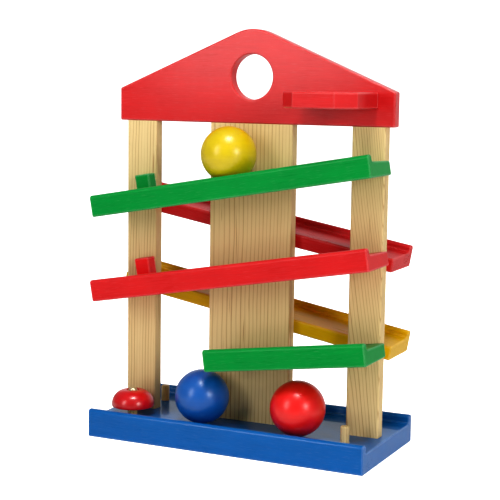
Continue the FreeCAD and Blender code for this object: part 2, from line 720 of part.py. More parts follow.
for thing in document.Objects:
    if "Invalid" in thing.State or "Error" in thing.State:
        raise RuntimeError("%s: %s" % (thing.Label, thing.State))
os.makedirs("parts", exist_ok=True)
for thing in sub_parts:
    if thing.Shape.isNull() or not thing.Shape.isValid():
        raise RuntimeError(thing.Label + " has no valid shape")
for thing in sub_parts:
    thing.Shape.exportStep("parts/%s.step" % thing.Label)
    box = thing.Shape.BoundBox
    print("%-22s %2d solid %9.1f mm3  x %7.2f %7.2f  y %7.2f %7.2f  z %7.2f %7.2f" % (
        thing.Label, len(thing.Shape.Solids), thing.Shape.Volume,
        box.XMin, box.XMax, box.YMin, box.YMax, box.ZMin, box.ZMax))
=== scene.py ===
"""Looks of a wooden marble run: lacquered boards, bare pine posts, glossy balls and an enamel bell.

Run as a script. Everything is in metres, in the same place as the CAD model that it starts from.
"""

import math

import bpy
from bpy.props import FloatProperty, FloatVectorProperty, PointerProperty
from mathutils import Matrix, Vector


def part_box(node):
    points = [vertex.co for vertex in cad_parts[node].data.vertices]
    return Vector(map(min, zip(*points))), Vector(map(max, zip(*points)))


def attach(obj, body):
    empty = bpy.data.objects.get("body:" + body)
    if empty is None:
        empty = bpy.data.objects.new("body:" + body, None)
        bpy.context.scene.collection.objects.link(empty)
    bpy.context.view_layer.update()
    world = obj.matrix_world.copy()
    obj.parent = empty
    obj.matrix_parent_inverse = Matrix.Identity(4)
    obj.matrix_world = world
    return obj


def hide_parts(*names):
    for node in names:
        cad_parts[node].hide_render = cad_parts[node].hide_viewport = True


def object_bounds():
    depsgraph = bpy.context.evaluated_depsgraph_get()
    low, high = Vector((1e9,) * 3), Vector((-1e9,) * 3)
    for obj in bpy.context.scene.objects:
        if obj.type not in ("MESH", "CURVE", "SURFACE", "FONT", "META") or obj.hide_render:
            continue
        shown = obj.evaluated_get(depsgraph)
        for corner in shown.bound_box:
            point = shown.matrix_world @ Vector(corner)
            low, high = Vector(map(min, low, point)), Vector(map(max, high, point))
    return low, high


bl_info = {
    "name": "Marble run",
    "version": (1, 0, 0),
    "blender": (4, 5, 0),
    "location": "3D View > Sidebar > Marble run",
    "description": "Finishes the boards, posts, balls and bell of a wooden marble run",
    "category": "Add Mesh",
}

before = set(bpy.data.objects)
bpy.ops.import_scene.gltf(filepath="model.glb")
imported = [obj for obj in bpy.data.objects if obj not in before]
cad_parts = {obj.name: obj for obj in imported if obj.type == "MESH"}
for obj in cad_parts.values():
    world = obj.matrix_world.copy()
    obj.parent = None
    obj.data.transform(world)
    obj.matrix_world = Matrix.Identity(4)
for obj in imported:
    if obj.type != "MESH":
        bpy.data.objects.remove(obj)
CAD_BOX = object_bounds()
MM = 0.001

# Edges that bend less than this are shaded smooth.
SHARP_EDGE = math.radians(35)
# A turned solid's section is swept round a circle of this radius, which is taken off its own radii.
SWEEP_RADIUS = 1 * MM
ROUNDING_STEPS = 12
SEAM = 0.002 * MM


def middle(node):
    """The middle of a CAD node's box."""
    low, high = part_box(node)
    return (low + high) / 2


def size(node):
    """The lengths of a CAD node's box."""
    low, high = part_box(node)
    return high - low


def foot(node):
    """The middle of the underside of a CAD node's box."""
    centre = middle(node)
    return Vector((centre.x, centre.y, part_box(node)[0].z))


# ---------------------------------------------------------------- node trees

class Term:
    """An output socket. Arithmetic on it adds Math nodes, so that a pattern reads as a sum."""

    def __init__(self, tree, socket):
        self.tree = tree
        self.socket = socket

    def maths(self, operation, *values):
        """A Math node on terms and numbers."""
        return self.tree.node("ShaderNodeMath", {"operation": operation}, dict(enumerate(values)))

    def __add__(self, other):
        return self.maths("ADD", self, other)

    def __radd__(self, other):
        return self.maths("ADD", other, self)

    def __sub__(self, other):
        return self.maths("SUBTRACT", self, other)

    def __rsub__(self, other):
        return self.maths("SUBTRACT", other, self)

    def __mul__(self, other):
        return self.maths("MULTIPLY", self, other)

    def __rmul__(self, other):
        return self.maths("MULTIPLY", other, self)

    def also(self, name):
        """Another output of the same node."""
        return Term(self.tree, self.socket.node.outputs[name])


class Tree:
    """A shader or geometry tree, emptied and then filled one node at a time."""

    def __init__(self, tree):
        self.tree = tree
        tree.nodes.clear()

    def node(self, kind, settings=None, values=None, output=0):
        """Adds a node: its settings first, then the values or terms of its inputs."""
        node = self.tree.nodes.new(kind)
        for name, value in (settings or {}).items():
            if name == "stops":
                self.set_stops(node.color_ramp.elements, value)
            else:
                setattr(node, name, value)
        for name, value in (values or {}).items():
            self.feed(node.inputs[name], value)
        return Term(self, node.outputs[output]) if len(node.outputs) else None

    def feed(self, socket, value):
        """Links a term to an input socket, or sets a plain value on it."""
        if isinstance(value, Term):
            self.tree.links.new(value.socket, socket)
        else:
            socket.default_value = value

    @staticmethod
    def set_stops(elements, stops):
        while len(elements) < len(stops):
            elements.new(1.0)
        for element, (place, value) in zip(elements, stops):
            element.position = place
            element.color = (value, value, value, 1.0)

    def mix(self, amount, first, second):
        """A colour between two colours."""
        colours = {6: first, 7: second}
        values = {0: amount}
        for socket, colour in colours.items():
            values[socket] = colour if isinstance(colour, Term) else (*colour[:3], 1.0)
        return self.node("ShaderNodeMix", {"data_type": "RGBA", "clamp_factor": True}, values, output=2)

    def stretch(self, place, factors):
        """Points scaled by a factor along each axis: a pattern is drawn out where its factor is small."""
        return self.node("ShaderNodeVectorMath", {"operation": "MULTIPLY"}, {0: place, 1: factors})

    def noise(self, place, scale, detail, roughness=0.5):
        return self.node("ShaderNodeTexNoise", {}, {
            "Vector": place, "Scale": scale, "Detail": detail, "Roughness": roughness})

    def place(self, **mapping):
        """The points of the piece, moved or turned."""
        here = self.node("ShaderNodeTexCoord", output="Object")
        return self.node("ShaderNodeMapping", {}, {"Vector": here, **mapping})

    def ramp(self, amount, *stops):
        """A number that follows (place, value) stops."""
        return self.node("ShaderNodeValToRGB", {"stops": stops}, {"Fac": amount})


def new_finish(name):
    """A material and its empty tree."""
    material = bpy.data.materials.new(name)
    material.use_nodes = True
    return material, Tree(material.node_tree)


def close_finish(tree, values, height=None, relief=0.0, strength=1.0):
    """Ends a finish in one Principled shader, with relief from a height where there is one."""
    if height is not None:
        values["Normal"] = tree.node("ShaderNodeBump", {}, {
            "Strength": strength, "Distance": relief, "Height": height})
    shader = tree.node("ShaderNodeBsdfPrincipled", {}, values)
    tree.node("ShaderNodeOutputMaterial", {}, {"Surface": shader})


def worn_and_sheen_edges(tree, reach):
    """1 along the corners that hands and balls rub, 0 on the flats. The lacquers also use it to paint a
    highlight along their edges.
    """
    rounded = tree.node("ShaderNodeBevel", {"samples": 6}, {"Radius": reach})
    flat = tree.node("ShaderNodeNewGeometry", output="Normal")
    alike = tree.node("ShaderNodeVectorMath", {"operation": "DOT_PRODUCT"}, {0: rounded, 1: flat},
                      output="Value")
    return tree.ramp(1 - alike, (0.004, 0.0), (0.07, 1.0))


# ---------------------------------------------------------------- finishes

def lacquer(name, colour, looks, top_coat, turn):
    """Brushed-on lacquer over sanded wood. top_coat is its clear coat's weight and roughness, and turn
    brings the grain onto X."""
    material, tree = new_finish(name)
    place = tree.place(Rotation=turn)
    fibre = tree.noise(tree.stretch(place, (45.0, 900.0, 900.0)), 1.0, 4.0, 0.65)
    brushed = tree.noise(tree.stretch(place, (9.0, 160.0, 160.0)), 1.0, 3.0)
    cloud = tree.noise(place, 24.0, 3.0)
    bristle = tree.noise(tree.stretch(place, (110.0, 1500.0, 1500.0)), 1.0, 2.0)
    # Fine pale streaks: brush marks in the lacquer that also stand as painted highlights, mixed a little
    # toward the pale colour.
    brush_streak_sheen = tree.ramp(bristle, (0.56, 0.0), (0.7, 1.0))
    # Pale edges: partly rubbed lacquer, partly a painted highlight along the eased edges.
    edge = worn_and_sheen_edges(tree, looks.edge_reach) * tree.ramp(cloud, (0.3, 0.55), (0.65, 1.0))
    depth = fibre * 0.4 + brushed * 0.25 + cloud * 0.35
    deep = [channel * looks.lacquer_depth for channel in colour]
    # The pale colour for worn edges, also used as painted sheen on the edges and the fine streaks.
    pale_wear_and_sheen = [channel + (1.0 - channel) * looks.edge_wear_and_sheen for channel in colour]
    tint = tree.mix(tree.ramp(depth, (0.36, 0.0), (0.62, 1.0)), deep, colour)
    tint = tree.mix(brush_streak_sheen * 0.05, tint, pale_wear_and_sheen)
    coat_weight, coat_roughness = top_coat
    close_finish(tree, {
        # Painted highlight and wear: the edges are mixed toward the pale colour.
        "Base Color": tree.mix(edge * 0.75, tint, pale_wear_and_sheen),
        "Roughness": looks.lacquer_roughness + (cloud - 0.5) * 0.14 + (fibre - 0.5) * 0.16,
        "Specular IOR Level": looks.lacquer_shine,
        "Coat Weight": coat_weight,
        "Coat Roughness": coat_roughness,
    }, height=fibre * 0.6 + brushed * 0.4, relief=looks.grain_relief, strength=0.6)
    return material


def pine(name, looks, heart, lean, rings, seed):
    """Bare sanded pine. heart is the X and Y of the tree's own centre at the floor, lean its drift for each
    metre up, rings how fast the year rings come, and seed moves the noise."""
    material, tree = new_finish(name)
    here = tree.node("ShaderNodeTexCoord", output="Object")
    moved = tree.node("ShaderNodeVectorMath", {"operation": "ADD"}, {0: here, 1: (seed, seed, seed)})
    split = tree.node("ShaderNodeSeparateXYZ", {}, {0: here})
    up = split.also("Z")
    sway = tree.noise(tree.stretch(moved, (16.0, 16.0, 7.0)), 1.0, 2.0) - 0.5
    ripple = tree.noise(tree.stretch(moved, (90.0, 90.0, 24.0)), 1.0, 2.0) - 0.5
    across = split - (up * lean[0] + heart[0]) + sway * looks.ring_sway + ripple * (looks.ring_sway * 0.08)
    deep = split.also("Y") - (up * lean[1] + heart[1])
    years = (across * across + deep * deep) * rings
    year = years.maths("FRACT", years)
    season = tree.ramp(year, (0.0, 0.04), (0.66, 0.08), (0.88, 1.0), (0.94, 0.8), (1.0, 0.04))
    good_years = tree.node("ShaderNodeTexNoise", {"noise_dimensions": "1D"}, {
        "W": years * 0.43, "Scale": 1.0})
    fibre = tree.noise(tree.stretch(moved, (1500.0, 1500.0, 36.0)), 1.0, 3.0, 0.6)
    fleck = tree.noise(tree.stretch(moved, (330.0, 330.0, 13.0)), 1.0, 2.0)
    streak = tree.ramp(fleck, (0.67, 0.0), (0.73, 1.0))
    cloud = tree.noise(moved, 11.0, 2.0)
    late = season * tree.ramp(good_years, (0.35, 0.35), (0.6, 1.0))
    wood = tree.mix(late * looks.ring_contrast + (fibre - 0.5) * 0.5, looks.pine_early, looks.pine_late)
    wood = tree.mix(tree.ramp(cloud, (0.35, 0.0), (0.7, 0.3)), wood, looks.pine_warm)
    wood = tree.mix(streak * 0.75, wood, looks.pine_resin)
    edge = worn_and_sheen_edges(tree, looks.edge_reach)
    wood = tree.mix(edge * 0.25, wood, looks.pine_early)
    close_finish(tree, {
        "Base Color": wood,
        "Roughness": 0.56 + (fibre - 0.5) * 0.2 - late * 0.1,
        "Specular IOR Level": 0.35,
    }, height=fibre * 0.5 + late * 0.5, relief=looks.grain_relief, strength=0.6)
    return material


def ball_gloss(name, colour, looks, centre):
    """Thick lacquer on a turned ball: a faint grain far down, and a few fine scuffs from the tracks."""
    material, tree = new_finish(name)
    place = tree.place(Location=-centre)
    grain = tree.noise(tree.stretch(place, (60.0, 60.0, 520.0)), 1.0, 4.0)
    cloud = tree.noise(place, 55.0, 3.0)
    rubbed = tree.noise(tree.stretch(place, (240.0, 1400.0, 240.0)), 1.0, 2.0)
    scuff = tree.ramp(rubbed, (0.69, 0.0), (0.75, 1.0))
    deep = [channel * looks.ball_depth for channel in colour]
    tint = tree.mix(tree.ramp(grain * 0.4 + cloud * 0.6, (0.3, 0.0), (0.7, 1.0)), deep, colour)
    close_finish(tree, {
        "Base Color": tint,
        "Roughness": looks.ball_roughness + (cloud - 0.5) * 0.12 + scuff * 0.12,
        "Specular IOR Level": 0.5,
        "Coat Weight": looks.ball_coat,
        "Coat Roughness": 0.24,
    }, height=cloud * 0.6 + grain * 0.4, relief=looks.grain_relief, strength=0.18)
    return material


def enamel(name, colour, centre):
    """Stoved enamel on the pressed steel bell: a slight orange peel, thin at the rim."""
    material, tree = new_finish(name)
    place = tree.place(Location=-centre)
    peel = tree.noise(place, 700.0, 2.0)
    cloud = tree.noise(place, 90.0, 3.0)
    edge = worn_and_sheen_edges(tree, 0.8 * MM)
    tint = tree.mix(cloud, [channel * 0.8 for channel in colour], colour)
    close_finish(tree, {
        "Base Color": tree.mix(edge * 0.5, tint, [channel * 0.45 for channel in colour]),
        "Roughness": 0.26 + cloud * 0.1 + edge * 0.1,
        "Coat Weight": 0.35,
        "Coat Roughness": 0.16,
    }, height=peel, relief=0.05 * MM, strength=0.12)
    return material


def metal(name, colour, roughness, reach):
    """Turned screw metal: fine tool marks round it, and duller patches. reach is how far its bright edges
    go."""
    material, tree = new_finish(name)
    place = tree.node("ShaderNodeTexCoord", output="Object")
    marks = tree.noise(tree.stretch(place, (900.0, 900.0, 5200.0)), 1.0, 3.0)
    cloud = tree.noise(place, 380.0, 3.0)
    edge = worn_and_sheen_edges(tree, reach)
    tint = tree.mix(cloud, [channel * 0.72 for channel in colour], colour)
    close_finish(tree, {
        "Base Color": tree.mix(edge * 0.6, tint, [min(channel * 1.25, 1.0) for channel in colour]),
        "Metallic": 1.0 - cloud * 0.12,
        "Roughness": roughness + (cloud - 0.5) * 0.2 + (marks - 0.5) * 0.14,
    }, height=marks, relief=0.04 * MM, strength=0.25)
    return material


def coat(material, nodes):
    """Puts a finish on CAD nodes."""
    for name in nodes:
        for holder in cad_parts[name].material_slots:
            holder.material = material


# ---------------------------------------------------------------- shapes by rule

def shape_tree(name, *labels):
    """A new geometry tree that takes the spots, the finish and a size for each label. The sizes' terms come
    with it."""
    group = bpy.data.node_groups.new(name, "GeometryNodeTree")
    group.interface.new_socket("Geometry", in_out="OUTPUT", socket_type="NodeSocketGeometry")
    for label, kind in {"Spots": "Geometry", "Finish": "Material", **dict.fromkeys(labels, "Float")}.items():
        group.interface.new_socket(label, in_out="INPUT", socket_type="NodeSocket" + kind)
    tree = Tree(group)
    given = tree.node("NodeGroupInput")
    return group, tree, [given.also(label) for label in labels]


def close_shape(tree, mesh):
    """Shades a mesh smooth but for its sharp edges, and puts a finished one at each spot."""
    bend = tree.node("GeometryNodeInputMeshEdgeAngle", output="Unsigned Angle")
    soft = tree.node("FunctionNodeCompare", {"operation": "LESS_THAN"}, {"A": bend, "B": SHARP_EDGE})
    mesh = tree.node("GeometryNodeSetShadeSmooth", {"domain": "FACE"}, {"Geometry": mesh})
    mesh = tree.node("GeometryNodeSetShadeSmooth", {"domain": "EDGE"}, {
        "Geometry": mesh, "Shade Smooth": soft})
    spots = tree.node("NodeGroupInput", output="Spots")
    many = tree.node("GeometryNodeInstanceOnPoints", {}, {"Points": spots, "Instance": mesh})
    whole = tree.node("GeometryNodeRealizeInstances", {}, {"Geometry": many})
    coated = tree.node("GeometryNodeSetMaterial", {}, {"Geometry": whole, "Material": spots.also("Finish")})
    tree.node("NodeGroupOutput", {}, {"Geometry": coated})


def by_index(tree, kind, values):
    """A field that takes the values in turn along a line of points."""
    index = tree.node("GeometryNodeInputIndex")
    switch = tree.node("GeometryNodeIndexSwitch", {"data_type": kind}, {"Index": index})
    node = switch.socket.node
    while len(node.index_switch_items) < len(values):
        node.index_switch_items.new()
    for socket, value in zip(list(node.inputs)[1:], values):
        tree.feed(socket, value)
    return switch


def turned(tree, corners, around, closed=False):
    """A solid turned about Z, with so many steps around. corners are (radius, height, rounding) along its
    half section, from the foot outwards and up. closed joins the last corner to the first; otherwise the
    section starts and ends on the axis."""
    spots = [tree.node("ShaderNodeCombineXYZ", {}, {"X": radius - SWEEP_RADIUS, "Y": height})
             for radius, height, _ in corners]
    roundings = [rounding for _, _, rounding in corners]
    line = tree.node("GeometryNodeMeshLine", {}, {"Count": len(corners)})
    line = tree.node("GeometryNodeMeshToCurve", {}, {"Mesh": line})
    line = tree.node("GeometryNodeSetPosition", {}, {
        "Geometry": line, "Position": by_index(tree, "VECTOR", spots)})
    line = tree.node("GeometryNodeSetSplineCyclic", {}, {"Geometry": line, "Cyclic": closed})
    line = tree.node("GeometryNodeFilletCurve", {"mode": "POLY"}, {
        "Curve": line, "Count": ROUNDING_STEPS, "Limit Radius": True,
        "Radius": by_index(tree, "FLOAT", roundings)})
    sweep = tree.node("GeometryNodeCurvePrimitiveCircle", {}, {"Resolution": around, "Radius": SWEEP_RADIUS})
    skin = tree.node("GeometryNodeCurveToMesh", {}, {"Curve": sweep, "Profile Curve": line})
    # A section's Y points down in the sweep, so half a turn about X brings the solid upright.
    upright = tree.node("GeometryNodeTransform", {}, {"Geometry": skin, "Rotation": (math.pi, 0.0, 0.0)})
    return tree.node("GeometryNodeMergeByDistance", {}, {"Geometry": upright, "Distance": SEAM})


def grow(name, group, spots, finish, **sizes):
    """A plain mesh from a geometry tree, with one shape at each spot. sizes go by the names of the tree's
    inputs."""
    mesh = bpy.data.meshes.new(name)
    mesh.from_pydata([tuple(spot) for spot in spots], [], [])
    piece = bpy.data.objects.new(name, mesh)
    bpy.context.scene.collection.objects.link(piece)
    rule = piece.modifiers.new(name, "NODES")
    rule.node_group = group
    inputs = {item.name.lower(): item.identifier
              for item in group.interface.items_tree if item.in_out == "INPUT"}
    for label, value in {**sizes, "finish": finish}.items():
        rule[inputs[label]] = value
    bpy.context.view_layer.update()
    plain = bpy.data.meshes.new_from_object(piece.evaluated_get(bpy.context.evaluated_depsgraph_get()))
    piece.modifiers.clear()
    piece.data = plain
    plain.name = name
    return piece


def ball_tree():
    """A ball round its spot."""
    group, tree, (radius,) = shape_tree("Ball", "Radius")
    mesh = tree.node("GeometryNodeMeshIcoSphere", {}, {"Radius": radius, "Subdivisions": 6})
    close_shape(tree, mesh)
    return group


def peg_tree():
    """A peg with an eased top, on its foot."""
    group, tree, (radius, length, ease) = shape_tree("Peg", "Radius", "Length", "Ease")
    section = ((0, 0, 0), (radius, 0, 0), (radius, length, ease), (0, length, 0))
    close_shape(tree, turned(tree, section, around=48))
    return group


def screw_tree():
    """A countersunk wood screw on its head, with a cross recess and a point."""
    group, tree, (head, shank, length, recess, depth) = shape_tree(
        "Wood screw", "Head", "Shank", "Length", "Recess", "Depth")
    section = ((0, 0, 0), (head, 0, 0), (shank, head - shank, 0), (shank, length - shank * 2, 0),
               (0, length, 0))
    solid = turned(tree, section, around=48)
    for wide, deep in ((head, recess), (recess, head)):
        block = tree.node("ShaderNodeCombineXYZ", {}, {"X": wide, "Y": deep, "Z": depth * 2})
        bar = tree.node("GeometryNodeMeshCube", {}, {"Size": block})
        solid = tree.node("GeometryNodeMeshBoolean", {"operation": "DIFFERENCE", "solver": "EXACT"}, {
            "Mesh 1": solid, "Mesh 2": bar})
    close_shape(tree, solid)
    return group


def dome_tree():
    """A pressed bell on its rim: the rim turns in a little, and the top has a round shoulder and a dish."""
    group, tree, (radius, height, shoulder, belly, lip, wall, dish, drop, hole) = shape_tree(
        "Bell dome", "Radius", "Height", "Shoulder", "Belly", "Lip", "Wall", "Dish", "Drop", "Hole")
    rim_bend, belly_bend, dish_bend, foot_bend = 0.3 * MM, 1 * MM, 0.8 * MM, 0.4 * MM
    dish_foot = dish - drop * 0.6
    outside = (
        (radius - lip, 0, rim_bend),
        (radius, belly, belly_bend),
        (radius, height, shoulder),
        (dish, height, dish_bend),
        (dish_foot, height - drop, foot_bend),
        (hole, height - drop, 0))
    inside = (
        (hole, height - drop - wall, 0),
        (dish_foot + wall * 0.5, height - drop - wall, 0),
        (dish + wall * 0.5, height - wall, 0),
        (radius - wall, height - wall, shoulder - wall),
        (radius - wall, belly, 0),
        (radius - lip - wall, 0, 0))
    close_shape(tree, turned(tree, outside + inside, around=96, closed=True))
    return group


# ---------------------------------------------------------------- settings

def swatch(name, description, value):
    return FloatVectorProperty(
        name=name, description=description, default=value, subtype="COLOR", min=0, max=1)


def share(name, description, value):
    return FloatProperty(name=name, description=description, default=value, subtype="FACTOR", min=0, max=1)


def distance(name, description, millimetres):
    return FloatProperty(name=name, description=description, default=millimetres * MM, unit="LENGTH", min=0)


def angle(name, description, value):
    return FloatProperty(name=name, description=description, default=value, subtype="ANGLE")


def power(name, description, watts):
    return FloatProperty(name=name, description=description, default=watts, unit="POWER", min=0)


def clear_coat(name, piece, weight, roughness):
    return FloatVectorProperty(
        name=name, description="Weight and roughness of the clear coat on " + piece,
        default=(weight, roughness), size=2, min=0, max=1)


class MarbleRunLooks(bpy.types.PropertyGroup):
    """Colours and surface of every finish"""

    red: swatch("Red", "Red lacquer of the gable, shelf, two tracks and rear stop", (0.63, 0.023, 0.025))
    # A lit copy of the red: brighter red on the front stop block, painted to make up for the shade it stands
    # in under the track above.
    bright_red: swatch("Bright red", "Fresher lacquer of the front red stop block", (0.98, 0.022, 0.024))
    green: swatch("Green", "Green lacquer of the top and bottom front tracks", (0.0, 0.285, 0.052))
    blue: swatch("Blue", "Blue lacquer of the tray", (0.0, 0.125, 0.40))
    yellow: swatch("Yellow", "Yellow lacquer of the lower rear track", (0.74, 0.44, 0.002))
    ball_yellow: swatch("Yellow ball", "Gloss of the yellow ball", (0.66, 0.50, 0.006))
    ball_blue: swatch("Blue ball", "Gloss of the blue ball", (0.010, 0.12, 0.42))
    ball_red: swatch("Red ball", "Gloss of the red ball", (0.80, 0.014, 0.012))
    bell_red: swatch("Bell red", "Enamel of the bell", (0.60, 0.006, 0.012))
    pine_early: swatch("Early wood", "Pale spring growth of the pine", (0.765, 0.585, 0.295))
    pine_late: swatch("Late wood", "Dark summer growth of the pine", (0.36, 0.165, 0.05))
    pine_warm: swatch("Warm wood", "Warmer patches of the pine", (0.74, 0.515, 0.25))
    pine_resin: swatch("Resin", "Short resin streaks in the pine", (0.36, 0.17, 0.055))
    brass: swatch("Brass", "Bell screw and washer", (0.86, 0.76, 0.52))
    zinc: swatch("Zinc", "Screws under the tray", (0.62, 0.62, 0.60))
    lacquer_roughness: share("Lacquer roughness", "Mean roughness of the lacquer", 0.30)
    lacquer_shine: share("Lacquer shine", "Mirror part of the lacquer", 0.10)
    lacquer_depth: share("Lacquer depth", "How dark thick lacquer is against its colour", 0.86)
    track_coat: clear_coat("Track top coat", "the tracks and stop blocks", 0.06, 0.2)
    gable_coat: clear_coat("Gable top coat", "the gable", 0.45, 0.15)
    shelf_coat: clear_coat("Shelf top coat", "the start shelf", 0.2, 0.2)
    tray_coat: clear_coat("Tray top coat", "the tray", 0.42, 0.05)
    ball_roughness: share("Ball roughness", "Mean roughness of the balls", 0.33)
    ball_coat: share("Ball top coat", "Weight of the balls' clear coat", 0.24)
    ball_depth: share("Ball depth", "How dark the balls' thick lacquer is", 0.88)
    # Lightens the lacquer along its edges, partly as wear and partly as a painted highlight.
    edge_wear_and_sheen: share("Edge wear and sheen", "How pale the lacquer is where it is rubbed", 0.42)
    # Width of the paler edges, worn, and on the lacquer painted as highlight.
    edge_reach: distance("Edge reach", "Width of the paler edges: wear, and on the lacquer a painted highlight", 2.0)
    grain_relief: distance("Grain relief", "Height of the wood fibres", 0.12)
    ring_sway: distance("Ring sway", "How far the year rings wander", 7.0)
    ring_contrast: share("Ring contrast", "How dark late wood is", 0.78)


class MarbleRunShapes(bpy.types.PropertyGroup):
    """Sizes that the CAD pieces' boxes don't give"""

    track_slope: angle("Track slope", "Slope of the long tracks, which the grain follows", math.radians(10))
    peg_ease: distance("Peg ease", "Rounding of the stop pegs' tops", 1.5)
    bell_shoulder: distance("Bell shoulder", "Radius of the bell's round shoulder", 13.4)
    bell_belly: distance("Bell belly", "Height of the bell's widest ring over its rim", 0.8)
    bell_lip: distance("Bell lip", "How far the bell's rim turns in", 0.3)
    bell_wall: distance("Bell wall", "Thickness of the bell's steel", 1.2)
    dish_radius: distance("Dish radius", "Radius of the dish in the bell's top", 5.8)
    dish_drop: distance("Dish drop", "Depth of that dish", 1.6)
    bell_hole: distance("Bell hole", "Radius of the hole for the bell's screw", 1.85)
    outer_inset: distance("Outer inset", "How far the screws stand in from an outer post's sides", 7.5)
    middle_inset: distance("Middle inset", "How far the screws stand in from the middle post's sides", 14.0)
    screw_head: distance("Screw head", "Radius of a tray screw's head", 4.0)
    screw_shank: distance("Screw shank", "Radius of a tray screw's shank", 2.0)
    recess_width: distance("Recess width", "Width of the screws' cross recess", 0.9)
    recess_depth: distance("Recess depth", "Depth of the screws' cross recess", 1.4)


class MarbleRunStage(bpy.types.PropertyGroup):
    """Floor, light and camera"""

    floor_radius: distance("Floor radius", "Radius of the floor", 9000.0)
    floor_gap: distance("Floor gap", "How far the floor lies under the tray", 0.2)
    floor_tone: swatch("Floor", "Plain pale floor", (0.86, 0.86, 0.86))
    floor_glow: share("Floor glow", "Brightness that the floor adds of its own, as the camera sees it", 0.72)
    left_light: power("Left light", "Power of the left window", 9.0)
    right_light: power("Right light", "Power of the right window", 10.8)
    top_light: power("Top light", "Power of the light above", 14.0)
    back_light: power("Back light", "Power of the wide light behind", 7.5)
    room_light: share("Room light", "Brightness of the white room on what it lights", 0.24)
    lens: FloatProperty(
        name="Lens", description="Focal length on a 36 mm sensor", default=96.17, unit="CAMERA")
    camera_place: FloatVectorProperty(
        name="Camera place", description="Where the camera stands",
        default=(0.52032, -1.10222, 0.33256), subtype="TRANSLATION")
    camera_turn: angle("Camera turn", "Turn about the upright", 0.4426)
    camera_dip: angle("Camera dip", "Slope below level", 0.1261)
    camera_roll: angle("Camera roll", "Turn about its own axis", 0.014)


# ---------------------------------------------------------------- operators

class MARBLERUN_OT_boards(bpy.types.Operator):
    """Lacquers the tray, the gable with its shelf, the tracks and their stop blocks"""

    bl_idname = "marble_run.boards"
    bl_label = "Lacquered boards"

    def execute(self, context):
        looks = context.scene.marble_run_looks
        slope = context.scene.marble_run_shapes.track_slope
        level, left, right = (0, 0, 0), (0, slope, 0), (0, -slope, 0)
        for name, paint, top_coat, turn, nodes in (
                ("blue_tray", looks.blue, looks.tray_coat, level, ["base_tray"]),
                ("red_gable", looks.red, looks.gable_coat, level, ["gable"]),
                ("red_shelf", looks.red, looks.shelf_coat, level, ["start_shelf"]),
                ("green_falling_left", looks.green, looks.track_coat, left,
                 ["track_1_green", "stop_1_green", "track_5_green"]),
                ("red_falling_left", looks.red, looks.track_coat, left, ["track_3_red"]),
                # Painted light: the front red stop gets the brighter, lit copy of the red.
                ("bright_red_stop", looks.bright_red, looks.track_coat, left, ["stop_3_red"]),
                ("red_falling_right", looks.red, looks.track_coat, right, ["track_2_red", "stop_2_red"]),
                ("yellow_falling_right", looks.yellow, looks.track_coat, right,
                 ["track_4_yellow", "stop_4_yellow"])):
            coat(lacquer(name, paint, looks, top_coat, turn), nodes)
        return {"FINISHED"}


class MARBLERUN_OT_posts(bpy.types.Operator):
    """Gives each bare pine post its own cut of wood, finishes the dowels and turns the stop pegs"""

    bl_idname = "marble_run.posts"
    bl_label = "Pine posts, dowels and pegs"

    def execute(self, context):
        looks = context.scene.marble_run_looks
        left, right = middle("left_post").x, middle("right_post").x
        for name, heart, lean, rings, seed, nodes in (
                ("pine_left", (left - 0.21, 0.03), (0.02, 0.0), 760.0, 3.1, ["left_post"]),
                ("pine_middle", (-0.16, 0.02), (0.008, 0.0), 760.0, 0.0, ["middle_post"]),
                ("pine_right", (right - 0.045, 0.045), (-0.08, 0.05), 3100.0, 7.7, ["right_post"]),
                ("beech_dowels", (-0.3, 0.02), (0.0, 0.0), 900.0, 5.0,
                 ["gable_dowels", "shelf_dowels", "track_dowels", "bell_spacer"])):
            coat(pine(name, looks, heart, lean, rings, seed), nodes)
        self.turn_pegs(looks, context.scene.marble_run_shapes)
        return {"FINISHED"}

    @staticmethod
    def turn_pegs(looks, shapes):
        nodes = ["stop_peg_front_right", "stop_peg_rear_left", "stop_peg_rear_right"]
        wood = pine("peg_wood", looks, heart=(0.05, -0.09), lean=(0.0, 0.0), rings=2600.0, seed=9.0)
        width, _, length = size(nodes[0])
        pegs = grow("turned_stop_pegs", peg_tree(), [foot(node) for node in nodes], wood,
                    radius=width / 2, length=length, ease=shapes.peg_ease)
        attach(pegs, "frame")
        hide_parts(*nodes)


class MARBLERUN_OT_balls(bpy.types.Operator):
    """Turns the three glossy balls"""

    bl_idname = "marble_run.balls"
    bl_label = "Balls"

    def execute(self, context):
        looks = context.scene.marble_run_looks
        group = ball_tree()
        for hue in ("yellow", "blue", "red"):
            node = "ball_" + hue
            centre = middle(node)
            finish = ball_gloss(node + "_lacquer", getattr(looks, node), looks, centre)
            ball = grow("turned_" + node, group, [centre], finish, radius=size(node).x / 2)
            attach(ball, hue + "_ball")
            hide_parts(node)
        return {"FINISHED"}


class MARBLERUN_OT_bell(bpy.types.Operator):
    """Presses the bell and finishes it, its screw and its washer"""

    bl_idname = "marble_run.bell"
    bl_label = "Bell"

    def execute(self, context):
        looks = context.scene.marble_run_looks
        shapes = context.scene.marble_run_shapes
        finish = enamel("bell_enamel", looks.bell_red, middle("bell_dome"))
        width, _, height = size("bell_dome")
        dome = grow("pressed_bell", dome_tree(), [foot("bell_dome")], finish,
                    radius=width / 2, height=height, shoulder=shapes.bell_shoulder, belly=shapes.bell_belly,
                    lip=shapes.bell_lip, wall=shapes.bell_wall, dish=shapes.dish_radius,
                    drop=shapes.dish_drop, hole=shapes.bell_hole)
        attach(dome, "bell")
        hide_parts("bell_dome")
        brass = metal("bell_brass", looks.brass, roughness=0.42, reach=0.5 * MM)
        coat(brass, ["bell_screw", "bell_washer"])
        return {"FINISHED"}


